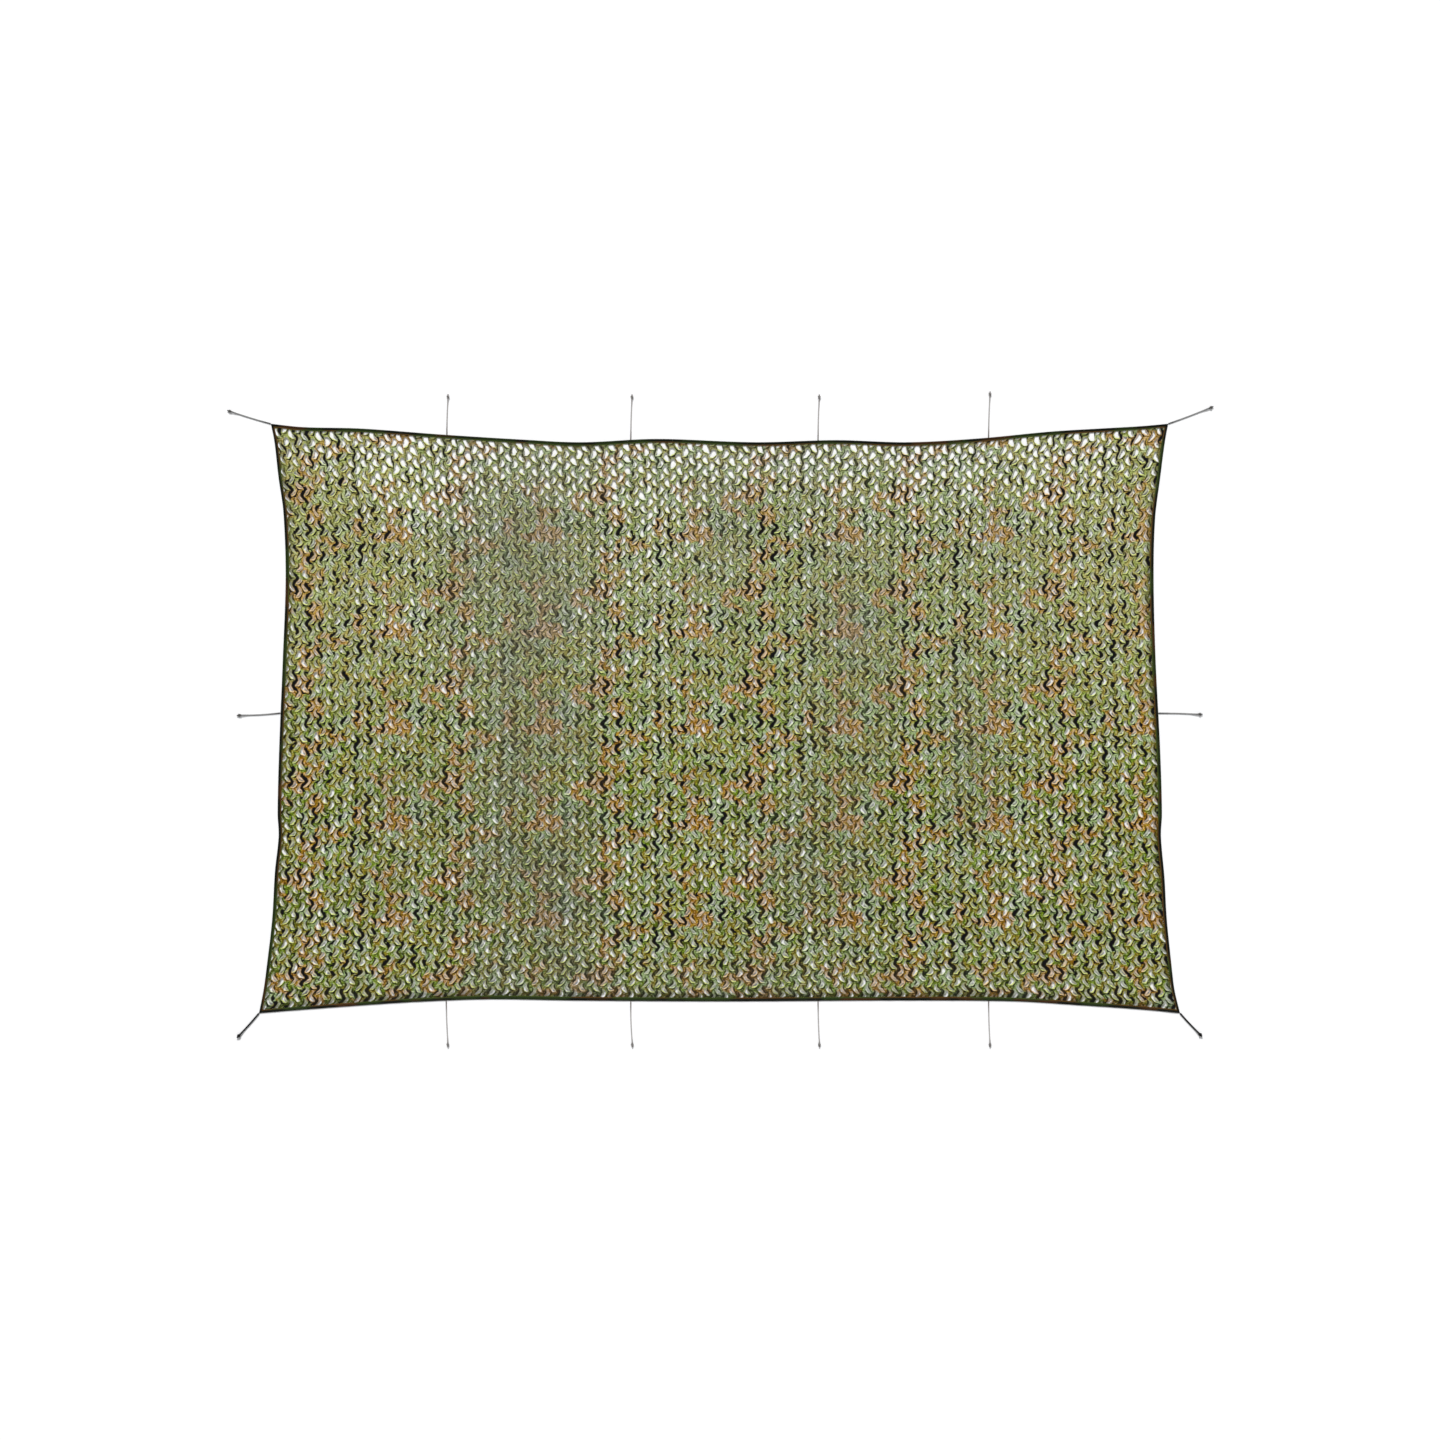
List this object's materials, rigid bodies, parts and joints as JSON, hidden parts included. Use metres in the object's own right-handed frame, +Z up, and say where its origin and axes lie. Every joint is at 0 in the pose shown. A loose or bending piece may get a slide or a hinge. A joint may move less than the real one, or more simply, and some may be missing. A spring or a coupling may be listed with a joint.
{
  "type": "camouflage net",
  "caption": "Rectangular leaf-cut camouflage net laid flat, with a bound edge and short knotted tie cords along all four sides.",
  "frame": {"origin": "on the surface that the net lies on, under the middle of the bound net", "axes": "+X along the long side, +Y along the short side towards the edge with the shorter corner span, +Z up from the surface"},
  "size_m": [3.3069, 2.1964, 0.0123],
  "materials": {
    "net_cloth": "matte printed polyester cloth in woodland green, ochre and near-black",
    "binding_cloth": "matte dark printed polyester strip, folded and stitched",
    "cord_grey": "grey braided polyester cord",
    "cord_black": "black braided polyester cord"
  },
  "bodies": {
    "root": {"net": "net_cloth", "binding_top": "binding_cloth", "binding_bottom": "binding_cloth", "binding_left": "binding_cloth", "binding_right": "binding_cloth", "tie_corner_top_left": "cord_grey", "knot_corner_top_left": "cord_grey", "tie_corner_top_right": "cord_grey", "knot_corner_top_right": "cord_grey", "tie_corner_bottom_left": "cord_black", "knot_corner_bottom_left": "cord_black", "tie_corner_bottom_right": "cord_black", "knot_corner_bottom_right": "cord_black", "tie_top_1": "cord_grey", "knot_top_1": "cord_grey", "tie_top_2": "cord_grey", "knot_top_2": "cord_grey", "tie_top_3": "cord_grey", "knot_top_3": "cord_grey", "tie_top_4": "cord_grey", "knot_top_4": "cord_grey", "tie_bottom_1": "cord_grey", "knot_bottom_1": "cord_grey", "tie_bottom_2": "cord_grey", "knot_bottom_2": "cord_grey", "tie_bottom_3": "cord_grey", "knot_bottom_3": "cord_grey", "tie_bottom_4": "cord_grey", "knot_bottom_4": "cord_grey", "tie_left": "cord_grey", "knot_left": "cord_grey", "tie_right": "cord_grey", "knot_right": "cord_grey"}
  },
  "joints": []
}
